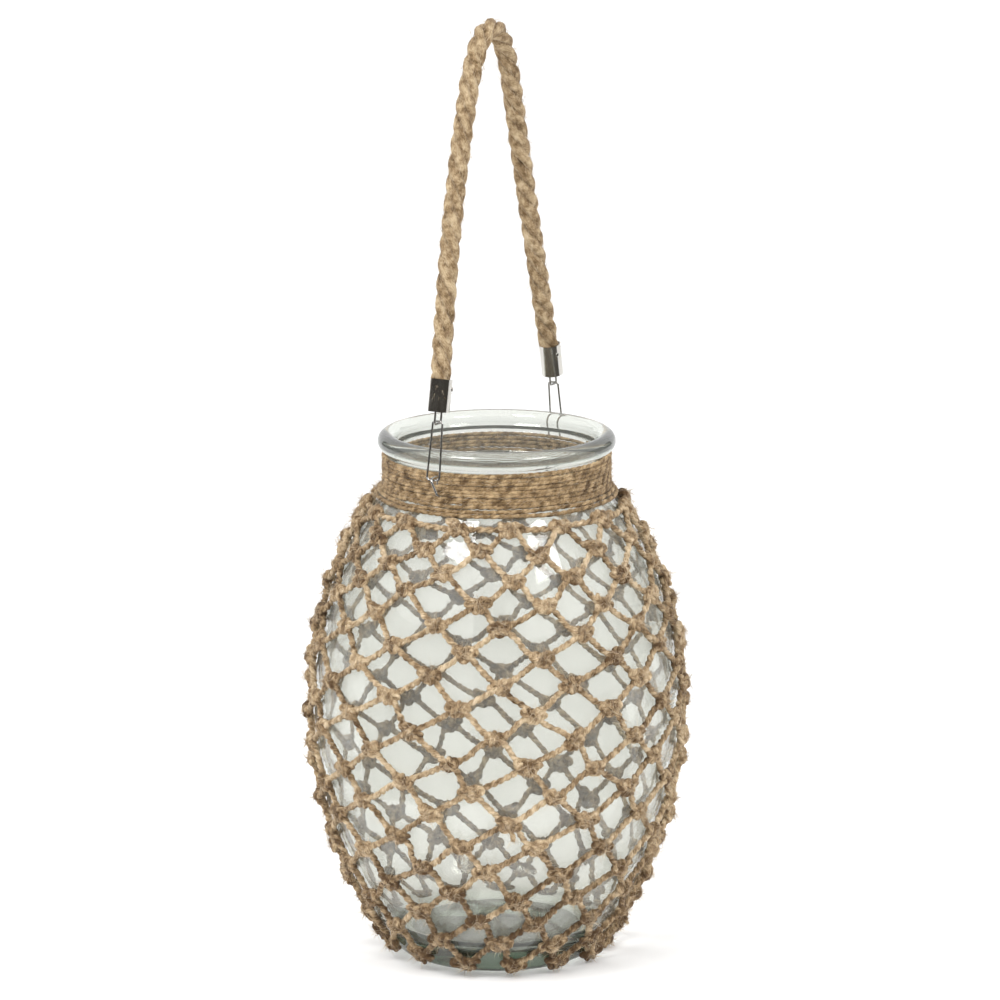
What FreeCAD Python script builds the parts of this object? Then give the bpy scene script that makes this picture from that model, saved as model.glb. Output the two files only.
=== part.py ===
import FreeCAD, Part
import math
import os
import Sketcher

# Hanging lantern: a clear glass jar with a thick base and a rolled rim, a jute neck wrap over a
# wire ring with two ears, a hand-knotted jute net, two wire links, and a three-strand rope handle
# whose ends sit in metal ferrules. The origin is the centre of the jar's underside, +Z is up and
# the two ears lie on the X axis. Lengths are in millimetres.

V = FreeCAD.Vector
doc = FreeCAD.newDocument("hanging_lantern")
os.makedirs("parts", exist_ok=True)

# ---------------------------------------------------------------- driving dimensions
sheet = doc.addObject("Spreadsheet::Sheet", "dims")
DIMS = {
    "belly_radius": 91.3,
    "belly_height": 128.0,
    "lower_arc": 215.0,
    "upper_arc": 182.0,
    "wall": 4.0,
    "heel_radius": 9.0,
    "foot_inner": 36.0,
    "punt_depth": 1.8,
    "base_thickness": 14.0,
    "inner_heel": 16.0,
    "neck_radius": 54.3,
    "mouth_radius": 49.6,
    "shoulder_fillet": 6.0,
    "inner_shoulder": 8.0,
    "rim_radius": 4.65,
    "rim_top": 264.5,
    "rim_flat": 0.3,
    "wrap_bottom": 230.5,
    "wrap_pitch": 2.2,
    "wrap_turns": 11,
    "twine_diameter": 2.2,
    "skin_gap": 0.3,
    "net_cord_diameter": 3.4,
    "knot_long": 4.6,
    "knot_short": 3.0,
    "mesh_count": 15,
    "course_count": 18,
    "net_top": 227.0,
    "net_bottom": 8.5,
    "ring_height": 243.0,
    "ring_wire": 1.2,
    "ear_height": 252.0,
    "ear_reach": 65.0,
    "link_foot_x": 62.3,
    "link_wire": 1.0,
    "link_foot_half": 3.5,
    "link_head_half": 2.6,
    "eye_height": 278.0,
    "eye_x": 58.0,
    "eye_wire": 1.1,
    "eye_half": 3.0,
    "ferrule_radius": 5.4,
    "ferrule_bore": 4.95,
    "ferrule_length": 16.0,
    "ferrule_cap": 0.8,
    "ferrule_bottom_x": 57.1,
    "ferrule_bottom_z": 283.6,
    "pin_diameter": 1.0,
    "rope_diameter": 9.6,
    "rope_knee_x": 46.0,
    "rope_knee_z": 338.0,
    "rope_mid_x": 30.1,
    "rope_mid_z": 401.4,
    "rope_top_x": 11.5,
    "rope_top_z": 462.8,
}
for row, (alias, value) in enumerate(DIMS.items(), start=1):
    sheet.set("A%d" % row, alias)
    sheet.set("B%d" % row, repr(value))
    sheet.setAlias("B%d" % row, alias)
doc.recompute()


def dim(alias):
    """A driving dimension, read back from the sheet."""
    return float(sheet.get(alias))


made = []


def check(thing):
    """Every object is recomputed and holds one valid, closed shape."""
    doc.recompute()
    for obj in doc.Objects:
        if {"Invalid", "Error"} & set(obj.State):
            raise RuntimeError("%s did not compute: %s" % (obj.Label, obj.State))
    shape = thing.Shape
    if shape.isNull() or not shape.isValid() or not shape.Solids:
        raise RuntimeError("%s has no valid solid" % thing.Label)
    made.append(thing)
    return thing


def plane(body, role):
    """The body's own origin plane or axis with that role."""
    return next(f for f in body.Origin.OriginFeatures if f.Role == role)


def new_body(name):
    body = doc.addObject("PartDesign::Body", name)
    body.Label = name
    return body


def new_sketch(body, name, role, height=0.0):
    sketch = body.newObject("Sketcher::SketchObject", name)
    sketch.AttachmentSupport = [(plane(body, role), "")]
    sketch.MapMode = "FlatFace"
    sketch.AttachmentOffset = FreeCAD.Placement(V(0, 0, height), FreeCAD.Rotation())
    return sketch


def feature(name, shape, placement=FreeCAD.Placement()):
    """A piece whose form follows a bent or repeated path, with its placement set after the shape."""
    obj = doc.addObject("Part::Feature", name)
    obj.Label = name
    obj.Shape = shape
    obj.Placement = placement
    return check(obj)


HALF_TURN = FreeCAD.Placement(V(0, 0, 0), FreeCAD.Rotation(V(0, 0, 1), 180))


def chain(sketch, steps):
    """A closed chain of lines and arcs, each ending where the next begins.

    A step is a list of two points for a line, or three for an arc through its middle point.
    """
    ends = []
    for step in steps:
        points = [V(x, y, 0) for x, y in step]
        if len(points) == 2:
            sketch.addGeometry(Part.LineSegment(points[0], points[1]), False)
            ends.append((1, 2))
            continue
        # an arc runs anticlockwise, so a clockwise step is entered from its far end
        first, middle, last = points
        clockwise = (middle - first).cross(last - middle).z < 0
        if clockwise:
            first, last = last, first
        sketch.addGeometry(Part.Arc(first, middle, last), False)
        ends.append((2, 1) if clockwise else (1, 2))
    count = len(steps)
    for i in range(count):
        after = (i + 1) % count
        sketch.addConstraint(
            Sketcher.Constraint("Coincident", i, ends[i][1], after, ends[after][0])
        )


def drive(sketch, kind, args, alias_text, name):
    """A named size in a sketch that follows the sheet."""
    index = sketch.addConstraint(Sketcher.Constraint(kind, *args))
    sketch.renameConstraint(index, name)
    sketch.setExpression("Constraints." + name, alias_text)


def tube(points, corner, radius, closed=False):
    """A round wire or cord along straight runs joined by tangent arcs.

    corner is the bend radius, or None for the largest that leaves a tenth of each run straight.
    Returns the solid, the wire of its centreline and the bend radii.
    """
    count = len(points)
    inner = range(count) if closed else range(1, count - 1)
    bends = {}
    radii = []
    for i in inner:
        a = points[i - 1]
        b = points[i]
        c = points[(i + 1) % count]
        u = (a - b).normalize()
        w = (c - b).normalize()
        half = (math.pi - math.acos(max(-1.0, min(1.0, u.dot(w))))) / 2
        run = min((a - b).Length, (c - b).Length)
        bend = 0.45 * run / math.tan(half)
        if corner is not None:
            bend = min(bend, corner)
        radii.append(round(bend, 1))
        reach = bend * math.tan(half)
        middle = (u + w).normalize()
        top = b + middle * (bend / math.cos(half) - bend)
        bends[i] = (b + u * reach, top, b + w * reach)
    edges = []
    if closed:
        begin = (bends[count - 1][2] + bends[0][0]) * 0.5
        here = begin
    else:
        begin = points[0]
        here = begin
    for i in inner:
        first, top, last = bends[i]
        edges.append(Part.LineSegment(here, first).toShape())
        edges.append(Part.Arc(first, top, last).toShape())
        here = last
    finish = begin if closed else points[-1]
    edges.append(Part.LineSegment(here, finish).toShape())
    path = Part.Wire(edges)
    along = edges[0].Curve.Direction
    if (edges[0].valueAt(edges[0].LastParameter) - begin).dot(along) < 0:
        along = along * -1
    ring = Part.Wire([Part.Circle(begin, along, radius).toShape()])
    solid = path.makePipeShell([ring], True, False)
    if isinstance(solid, Part.Shell) or not solid.Solids:
        solid = Part.makeSolid(solid)
    expected = math.pi * radius ** 2 * path.Length
    if abs(solid.Volume) < 0.97 * expected or abs(solid.Volume) > 1.03 * expected:
        raise RuntimeError("a tube's volume %.1f is not %.1f" % (solid.Volume, expected))
    if solid.Volume < 0:
        solid.reverse()
    return solid, path, radii


# ---------------------------------------------------------------- the jar's outline
R_BELLY = dim("belly_radius")
Z_BELLY = dim("belly_height")
LOWER = dim("lower_arc")
UPPER = dim("upper_arc")
NECK = dim("neck_radius")


def on_arc(radius, z, inset=0.0):
    """Radius from the jar's axis of one of its two body arcs, at height z."""
    r = radius - inset
    return R_BELLY - radius + math.sqrt(r ** 2 - (z - Z_BELLY) ** 2)


def fillet_with(radius, inset, size, x=None, z=None, outside=False):
    """A fillet between a body arc and a vertical line at x or a level line at z.

    Returns the fillet's centre and where it meets the arc. outside puts it outside the arc.
    """
    r = radius - inset
    centre_x = R_BELLY - radius
    reach = r + size if outside else r - size
    if x is not None:
        cx = x + size
        cz = Z_BELLY + math.sqrt(reach ** 2 - (cx - centre_x) ** 2)
    else:
        cz = z + size
        cx = centre_x + math.sqrt(reach ** 2 - (cz - Z_BELLY) ** 2)
    share = r / reach
    touch = (centre_x + (cx - centre_x) * share, Z_BELLY + (cz - Z_BELLY) * share)
    return (cx, cz), touch


def arc_middle(centre, a, b):
    """The point halfway round the shorter arc from a to b."""
    cx, cz = centre
    size = math.hypot(a[0] - cx, a[1] - cz)
    mx = (a[0] + b[0]) / 2 - cx
    mz = (a[1] + b[1]) / 2 - cz
    scale = size / math.hypot(mx, mz)
    return (cx + mx * scale, cz + mz * scale)


heel_c, heel_t = fillet_with(LOWER, 0.0, dim("heel_radius"), z=0.0)
shoulder_c, shoulder_t = fillet_with(
    UPPER, 0.0, dim("shoulder_fillet"), x=NECK, outside=True
)
WALL = dim("wall")
in_heel_c, in_heel_t = fillet_with(LOWER, WALL, dim("inner_heel"), z=dim("base_thickness"))
in_shoulder_c, in_shoulder_t = fillet_with(
    UPPER, WALL, dim("inner_shoulder"), x=dim("mouth_radius"), outside=True
)


def glass_radius(z):
    """Outer radius of the glass at height z, from the heel to the neck."""
    if z < heel_t[1]:
        return heel_c[0] + math.sqrt(dim("heel_radius") ** 2 - (z - heel_c[1]) ** 2)
    if z < Z_BELLY:
        return on_arc(LOWER, z)
    if z < shoulder_t[1]:
        return on_arc(UPPER, z)
    if z < shoulder_c[1]:
        return shoulder_c[0] - math.sqrt(dim("shoulder_fillet") ** 2 - (z - shoulder_c[1]) ** 2)
    return NECK


def glass_slope(z):
    """Unit outward normal of the glass at height z, as its radial and upward parts."""
    dr = (glass_radius(z + 0.01) - glass_radius(z - 0.01)) / 0.02
    size = math.hypot(1.0, dr)
    return 1.0 / size, -dr / size


# ---------------------------------------------------------------- glass jar
mouth = dim("mouth_radius")
bead = dim("rim_radius")
bead_x = mouth + bead
bead_high = dim("rim_top") - bead
bead_low = bead_high - dim("rim_flat")
bead_foot = bead_low - math.sqrt(bead ** 2 - (NECK - bead_x) ** 2)
foot_x = heel_c[0]
foot_in = dim("foot_inner")
punt = dim("punt_depth")
floor_z = dim("base_thickness")
punt_r = (foot_in ** 2 + punt ** 2) / (2 * punt)
punt_mid = (foot_in / 2, punt - punt_r + math.sqrt(punt_r ** 2 - (foot_in / 2) ** 2))
lower_c = (R_BELLY - LOWER, Z_BELLY)
upper_c = (R_BELLY - UPPER, Z_BELLY)
belly_in = (R_BELLY - WALL, Z_BELLY)
belly_out = (R_BELLY, Z_BELLY)

jar = new_body("glass_jar")
outline = new_sketch(jar, "jar_outline", "XZ_Plane")
chain(
    outline,
    [
        [(0.0, floor_z), (0.0, punt)],
        [(0.0, punt), punt_mid, (foot_in, 0.0)],
        [(foot_in, 0.0), (foot_x, 0.0)],
        [(foot_x, 0.0), arc_middle(heel_c, (foot_x, 0.0), heel_t), heel_t],
        [heel_t, arc_middle(lower_c, heel_t, belly_out), belly_out],
        [belly_out, arc_middle(upper_c, belly_out, shoulder_t), shoulder_t],
        [shoulder_t, arc_middle(shoulder_c, shoulder_t, (NECK, shoulder_c[1])), (NECK, shoulder_c[1])],
        [(NECK, shoulder_c[1]), (NECK, bead_foot)],
        [(NECK, bead_foot), arc_middle((bead_x, bead_low), (NECK, bead_foot), (bead_x + bead, bead_low)),
         (bead_x + bead, bead_low)],
        [(bead_x + bead, bead_low), (bead_x + bead, bead_high)],
        [(bead_x + bead, bead_high), (bead_x, bead_high + bead), (mouth, bead_high)],
        [(mouth, bead_high), (mouth, in_shoulder_c[1])],
        [(mouth, in_shoulder_c[1]), arc_middle(in_shoulder_c, (mouth, in_shoulder_c[1]), in_shoulder_t),
         in_shoulder_t],
        [in_shoulder_t, arc_middle(upper_c, in_shoulder_t, belly_in), belly_in],
        [belly_in, arc_middle(lower_c, belly_in, in_heel_t), in_heel_t],
        [in_heel_t, arc_middle(in_heel_c, in_heel_t, (in_heel_c[0], floor_z)), (in_heel_c[0], floor_z)],
        [(in_heel_c[0], floor_z), (0.0, floor_z)],
    ],
)
drive(outline, "DistanceX", (-1, 1, 2, 1, foot_in), "dims.foot_inner", "foot_inner")
drive(outline, "Radius", (3, dim("heel_radius")), "dims.heel_radius", "heel_radius")
drive(outline, "Radius", (4, LOWER), "dims.lower_arc", "lower_arc")
drive(outline, "Radius", (5, UPPER), "dims.upper_arc", "upper_arc")
doc.recompute()
turned = jar.newObject("PartDesign::Revolution", "jar_turned")
turned.Profile = outline
turned.ReferenceAxis = (outline, ["V_Axis"])
turned.Angle = 360.0
jar.Tip = turned
check(jar)

# ---------------------------------------------------------------- neck wrap
pitch = dim("wrap_pitch")
turns = int(dim("wrap_turns"))
twine = dim("twine_diameter") / 2
gap = dim("skin_gap")
wrap = new_body("neck_wrap")
wrap_outline = new_sketch(wrap, "wrap_outline", "XZ_Plane")
wrap_z = [dim("wrap_bottom") + pitch * i for i in range(turns + 1)]
valley = [(glass_radius(z) + gap + 0.45 * twine * 2, z) for z in wrap_z]
inner = [(glass_radius(z) + gap, z) for z in wrap_z]
steps = []
for i in range(turns):
    z_mid = (wrap_z[i] + wrap_z[i + 1]) / 2
    crest = (glass_radius(z_mid) + gap + 2 * twine, z_mid)
    steps.append([valley[i], crest, valley[i + 1]])
steps.append([valley[-1], inner[-1]])
for i in range(turns, 0, -1):
    steps.append([inner[i], inner[i - 1]])
steps.append([inner[0], valley[0]])
chain(wrap_outline, steps)
doc.recompute()
wound = wrap.newObject("PartDesign::Revolution", "wrap_wound")
wound.Profile = wrap_outline
wound.ReferenceAxis = (wrap_outline, ["V_Axis"])
wound.Angle = 360.0
wrap.Tip = wound
check(wrap)

# ---------------------------------------------------------------- wire ring with its two ears
ring_wire = dim("ring_wire") / 2
ring_r = NECK + 0.1 + ring_wire
ring_z = dim("ring_height")
ear_z = dim("ear_height")
ear_x = dim("ear_reach")
ring = Part.makeTorus(ring_r, ring_wire, V(0, 0, ring_z), V(0, 0, 1))
ear_points = [
    V(-math.sqrt(ring_r ** 2 - 2.6 ** 2), 2.6, ring_z),
    V(-57.2, 0.0, ear_z),
    V(-ear_x, 0.0, ear_z),
    V(-ear_x + 0.6, -3.6, ring_z + 0.6),
    V(-math.sqrt(ring_r ** 2 - 5.6 ** 2), -5.6, ring_z),
]
ear, ear_path, ear_radii = tube(ear_points, 1.9, ring_wire * 0.92)
other_ear = ear.copy()
other_ear.rotate(V(0, 0, 0), V(0, 0, 1), 180)
neck_wire = ring.fuse([ear, other_ear])
feature("neck_wire", neck_wire)

# ---------------------------------------------------------------- knotted net
meshes = int(dim("mesh_count"))
courses = int(dim("course_count"))
net_cord = dim("net_cord_diameter") / 2
knot_a = dim("knot_long")
knot_b = dim("knot_short")


def course_heights():
    """Heights of the rows of knots along the glass from net_top to net_bottom, a little closer near the top."""
    count = 600
    top = dim("net_top")
    drop = (top - dim("net_bottom")) / count
    heights = [top - drop * i for i in range(count + 1)]
    along = [0.0]
    for a, b in zip(heights, heights[1:]):
        along.append(along[-1] + math.hypot(a - b, glass_radius(a) - glass_radius(b)))
    rows = []
    for k in range(courses):
        share = k / (courses - 1)
        want = along[-1] * (share - 0.034 * math.sin(math.pi * share))
        i = min(range(count + 1), key=lambda n: abs(along[n] - want))
        rows.append(heights[i])
    return rows


ROWS = course_heights()


def knot_turn(k, j):
    """Angle round the jar of knot j of row k; the columns drift as a hand-tied net's do."""
    step = 360.0 / meshes
    drift = -1.4 - 0.113 * k**2
    wander = 1.3 * math.sin(2.1 * k + 1.7 * j) + 0.9 * math.sin(0.8 * k * j + 0.5)
    return step * (j + 0.5 * (k % 2)) + drift + wander


def knot_height(k, j):
    """Height of knot j of row k; the rows lean a little, less so at the top and bottom."""
    if k == 0:
        return ROWS[k]
    lean = 5.5 * min(1.0, k / 3, (courses - k) / 2.5)
    wander = 0.0 if k == courses - 1 else 1.0 * math.sin(1.3 * k + 2.4 * j)
    return ROWS[k] + wander - lean * math.sin(math.radians(knot_turn(k, j) - 209.5))


def skin_point(turn, z, out):
    """A point standing off the glass by out along its normal."""
    radial, up = glass_slope(z)
    r = glass_radius(z) + out * radial
    return V(r * math.cos(math.radians(turn)), r * math.sin(math.radians(turn)), z + out * up)


def knot_centre(k, j):
    z = knot_height(k, j)
    return skin_point(knot_turn(k, j), z, knot_b + gap + 0.05)


# a knot is a barrel with its long axis round the jar
knot_outline = [
    V(-knot_a, 0, 0),
    V(-knot_a, 0.45 * knot_b, 0),
    V(-0.7 * knot_a, knot_b, 0),
    V(0.7 * knot_a, knot_b, 0),
    V(knot_a, 0.45 * knot_b, 0),
    V(knot_a, 0, 0),
    V(-knot_a, 0, 0),
]
knot_face = Part.Face(Part.makePolygon(knot_outline))
knot_shape = knot_face.revolve(V(0, 0, 0), V(1, 0, 0), 360)


def knot_solid(k, j):
    """The knot, long way round the jar."""
    solid = knot_shape.copy()
    solid.Placement = FreeCAD.Placement(
        knot_centre(k, j), FreeCAD.Rotation(V(0, 0, 1), knot_turn(k, j) + 90)
    )
    return solid


def leg_solid(start, end):
    """A cord from inside one knot to just short of the next."""
    line = end - start
    return Part.makeCylinder(net_cord, line.Length - knot_a - 0.35, start, line)


def below(k, j):
    """Columns of the two knots in the next row that knot j of row k hangs from its cords."""
    if k % 2 == 0:
        return [(j - 1) % meshes, j]
    return [j, (j + 1) % meshes]


for k in range(courses):
    pieces = []
    for j in range(meshes):
        solid = knot_solid(k, j)
        if k < courses - 1:
            start = knot_centre(k, j)
            legs = [leg_solid(start, knot_centre(k + 1, n)) for n in below(k, j)]
            solid = solid.fuse(legs)
        pieces.extend(solid.Solids)
    feature("net_course_%02d" % (k + 1), Part.makeCompound(pieces))

header = doc.addObject("Part::Torus", "net_header_cord")
header.Label = "net_header_cord"
header_skin = skin_point(0.0, dim("net_top"), net_cord + gap)
header.Radius1 = header_skin.x
header.setExpression("Radius2", "dims.net_cord_diameter / 2")
header.Placement = FreeCAD.Placement(V(0, 0, header_skin.z), FreeCAD.Rotation())
check(header)

# twine ends left standing at a few knots, as the row and column of the knot
TAILS = [(4, 11), (7, 10), (11, 9), (12, 10), (15, 12), (16, 12), (9, 3), (14, 14)]
tails = []
for k, j in TAILS:
    turn = knot_turn(k, j)
    z = knot_height(k, j)
    start = skin_point(turn + 1.0, z - 1.0, 2 * knot_b + gap + 0.9)
    end = skin_point(turn + 3.0, z - 5.5, 2 * knot_b + gap + 1.6)
    tails.append(Part.makeCylinder(0.7, (end - start).Length, start, end - start))
feature("net_tails", Part.makeCompound(tails))

# ---------------------------------------------------------------- wire links
eye_z = dim("eye_height")
eye_x = dim("eye_x")
link_wire = dim("link_wire") / 2
foot_half = dim("link_foot_half")
head_half = dim("link_head_half")
lean = V(dim("link_foot_x") - eye_x, 0, eye_z - ear_z).normalize()
link_low = V(-dim("link_foot_x"), 0, ear_z) - V(lean.x, 0, lean.z) * (ring_wire + link_wire + 0.1)
link_high = V(-eye_x, 0, eye_z) + V(lean.x, 0, lean.z) * (dim("eye_wire") / 2 + link_wire + 0.1)
across = V(0, 1, 0)
link_points = [
    link_low + across * foot_half,
    link_high + across * head_half,
    link_high - across * head_half,
    link_low - across * foot_half,
]
link, link_path, link_radii = tube(link_points, 1.6, link_wire, closed=True)
feature("link_left", link)
feature("link_right", link, HALF_TURN)

# ---------------------------------------------------------------- rope handle
end_x = dim("ferrule_bottom_x")
end_z = dim("ferrule_bottom_z")
knee = V(-dim("rope_knee_x"), 0, dim("rope_knee_z"))
low_end = V(-end_x, 0, end_z)
rise = (knee - low_end).normalize()
tilt = math.degrees(math.atan2(rise.x, rise.z))
rope_start = low_end + rise * 4.8
half_route = [
    rope_start,
    knee,
    V(-dim("rope_mid_x"), 0, dim("rope_mid_z")),
    V(-dim("rope_top_x"), 0, dim("rope_top_z")),
]
route = half_route + [V(-p.x, p.y, p.z) for p in reversed(half_route)]
rope, rope_path, rope_radii = tube(route, None, dim("rope_diameter") / 2)
feature("rope", rope)
print("rope length %.1f, bend radii" % rope_path.Length, rope_radii)
print("rope volume over section times length: %.4f" % (
    rope.Volume / (math.pi * (dim("rope_diameter") / 2) ** 2 * rope_path.Length)))

# ---------------------------------------------------------------- ferrules, their eyes and tacks
eye_wire = dim("eye_wire") / 2
eye_half = dim("eye_half")


def circle_sketch(body, name, alias_text, radius, centre=(0.0, 0.0), height=0.0):
    sketch = new_sketch(body, name, "XY_Plane", height)
    sketch.addGeometry(Part.Circle(V(centre[0], centre[1], 0), V(0, 0, 1), radius), False)
    drive(sketch, "Radius", (0, radius), alias_text, "size")
    return sketch


def ferrule(name, side):
    """A drawn metal cup, open upwards, with two small holes for the eye's legs in its end."""
    body = new_body(name)
    outer = circle_sketch(body, name + "_outer", "dims.ferrule_radius", dim("ferrule_radius"))
    cup = body.newObject("PartDesign::Pad", name + "_cup")
    cup.Profile = outer
    cup.setExpression("Length", "dims.ferrule_length")
    doc.recompute()
    bore = circle_sketch(
        body, name + "_bore", "dims.ferrule_bore", dim("ferrule_bore"), height=dim("ferrule_cap")
    )
    hollow = body.newObject("PartDesign::Pocket", name + "_hollow")
    hollow.Profile = bore
    hollow.Type = "ThroughAll"
    hollow.Reversed = True
    doc.recompute()
    holes = new_sketch(body, name + "_holes", "XY_Plane")
    for sign in (-1, 1):
        holes.addGeometry(Part.Circle(V(sign * eye_half, 0, 0), V(0, 0, 1), eye_wire + 0.1), False)
    drilled = body.newObject("PartDesign::Pocket", name + "_drilled")
    drilled.Profile = holes
    drilled.setExpression("Length", "dims.ferrule_cap * 2")
    drilled.Reversed = True
    body.Tip = drilled
    body.Placement = FreeCAD.Placement(
        V(-side * end_x, 0, end_z), FreeCAD.Rotation(V(0, 1, 0), side * tilt)
    )
    check(body)
    cap = dim("ferrule_cap")
    whole = math.pi * dim("ferrule_radius") ** 2 * dim("ferrule_length")
    bored = math.pi * dim("ferrule_bore") ** 2 * (dim("ferrule_length") - cap)
    small = 2 * math.pi * (eye_wire + 0.1) ** 2 * cap
    if abs(body.Shape.Volume - (whole - bored - small)) > 1.0:
        raise RuntimeError("%s is not a cup: %.1f" % (name, body.Shape.Volume))
    return body


def eye(name, side):
    """A wire staple: two legs up through the ferrule's end and a level bottom for the link."""
    base = V(-side * end_x, 0, end_z)
    turn = FreeCAD.Rotation(V(0, 1, 0), side * tilt)
    tops = [base + turn.multVec(V(sign * eye_half, 0, 3.2)) for sign in (-1, 1)]
    points = [
        tops[0],
        V(-side * eye_x - eye_half, 0, eye_z),
        V(-side * eye_x + eye_half, 0, eye_z),
        tops[1],
    ]
    solid, path, radii = tube(points, 1.4, eye_wire)
    return feature(name, solid)


def tack(name, side):
    """A small round-headed tack through the ferrule's wall into the rope."""
    body = new_body(name)
    shank = circle_sketch(body, name + "_shank", "dims.pin_diameter / 2", dim("pin_diameter") / 2)
    pad = body.newObject("PartDesign::Pad", name + "_pad")
    pad.Profile = shank
    pad.Length = 3.4
    doc.recompute()
    head = circle_sketch(body, name + "_head", "dims.pin_diameter", dim("pin_diameter"), height=3.4)
    cap = body.newObject("PartDesign::Pad", name + "_cap")
    cap.Profile = head
    cap.Length = 0.5
    body.Tip = cap
    doc.recompute()
    top_edges = [
        "Edge%d" % (i + 1)
        for i, edge in enumerate(cap.Shape.Edges)
        if edge.BoundBox.ZMin > 3.85 and edge.Closed
    ]
    rounded = body.newObject("PartDesign::Fillet", name + "_rounded")
    rounded.Base = (cap, top_edges)
    rounded.Radius = 0.3
    body.Tip = rounded
    centre = V(-side * end_x, 0, end_z)
    turn = FreeCAD.Rotation(V(0, 1, 0), side * tilt)
    outward = FreeCAD.Rotation(V(1, 0, 0), 90).multiply(FreeCAD.Rotation())
    place = turn.multiply(FreeCAD.Rotation(V(0, 0, 1), 25.0 * side).multiply(outward))
    depth = dim("ferrule_radius") - 3.4 + 0.02
    start = centre + turn.multVec(V(0, 0, 11.5)) + place.multVec(V(0, 0, depth))
    body.Placement = FreeCAD.Placement(start, place)
    return check(body)


for side, word in ((1, "left"), (-1, "right")):
    ferrule("ferrule_" + word, side)
    eye("ferrule_eye_" + word, side)
    tack("ferrule_tack_" + word, side)

# ---------------------------------------------------------------- hand over
for thing in made:
    box = thing.Shape.BoundBox
    print("%-18s %5d solids %10.1f mm3  z %.1f..%.1f" % (
        thing.Label, len(thing.Shape.Solids), thing.Shape.Volume, box.ZMin, box.ZMax))
    thing.Shape.exportStep("parts/" + thing.Label + ".step")
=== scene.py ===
"""Hanging lantern: a clear glass jar in a knotted jute net, with a jute neck wrap and a rope handle.

Shapes are worked out in mm, as in the CAD model, and scaled to metres when each mesh is made.
Angles round the jar (turn) are in degrees. Every random number comes from one seeded source.
"""
import math

import bpy
import numpy as np
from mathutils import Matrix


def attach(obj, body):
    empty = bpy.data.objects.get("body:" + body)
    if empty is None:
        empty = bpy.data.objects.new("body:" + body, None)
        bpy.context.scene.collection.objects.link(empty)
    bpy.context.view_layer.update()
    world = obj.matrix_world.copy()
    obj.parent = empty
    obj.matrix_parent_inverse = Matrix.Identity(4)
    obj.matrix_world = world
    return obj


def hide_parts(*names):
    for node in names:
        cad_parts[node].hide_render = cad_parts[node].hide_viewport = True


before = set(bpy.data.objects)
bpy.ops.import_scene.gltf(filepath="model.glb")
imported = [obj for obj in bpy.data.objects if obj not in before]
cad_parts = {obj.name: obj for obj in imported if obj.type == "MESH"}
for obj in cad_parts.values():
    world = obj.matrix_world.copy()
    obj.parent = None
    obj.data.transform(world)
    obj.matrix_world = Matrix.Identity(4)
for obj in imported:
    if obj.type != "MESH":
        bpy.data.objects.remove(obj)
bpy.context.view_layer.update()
scene = bpy.context.scene
rng = np.random.default_rng(11)
MM = 0.001


# ------------------------------------------------------------ camera
AZIMUTH = math.radians(-60.5)
RISE = math.radians(14.48)
TARGET_Z = 0.135
DISTANCE = 2.4
PITCH = RISE - math.radians(2.2)
YAW = math.radians(-0.04)

LENS, SENSOR = 172.8, 36.0


def direction(azimuth, elevation):
    """A unit vector; azimuth 0 looks from the front, and both angles are in radians."""
    flat = math.cos(elevation)
    return np.array([math.sin(azimuth) * flat, -math.cos(azimuth) * flat, math.sin(elevation)])


def place_camera():
    data = bpy.data.cameras.new("camera")
    data.sensor_width = SENSOR
    data.lens = LENS
    data.clip_end = 100.0
    camera = bpy.data.objects.new("camera", data)
    scene.collection.objects.link(camera)
    scene.camera = camera
    camera.location = np.array([0.0, 0.0, TARGET_Z]) + DISTANCE * direction(AZIMUTH, RISE)
    camera.rotation_euler = (math.pi / 2 - PITCH, 0.0, AZIMUTH + YAW)


place_camera()


# ------------------------------------------------------------ mesh tools
def unit(v):
    v = np.asarray(v, float)
    return v / np.linalg.norm(v, axis=-1, keepdims=True)


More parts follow.
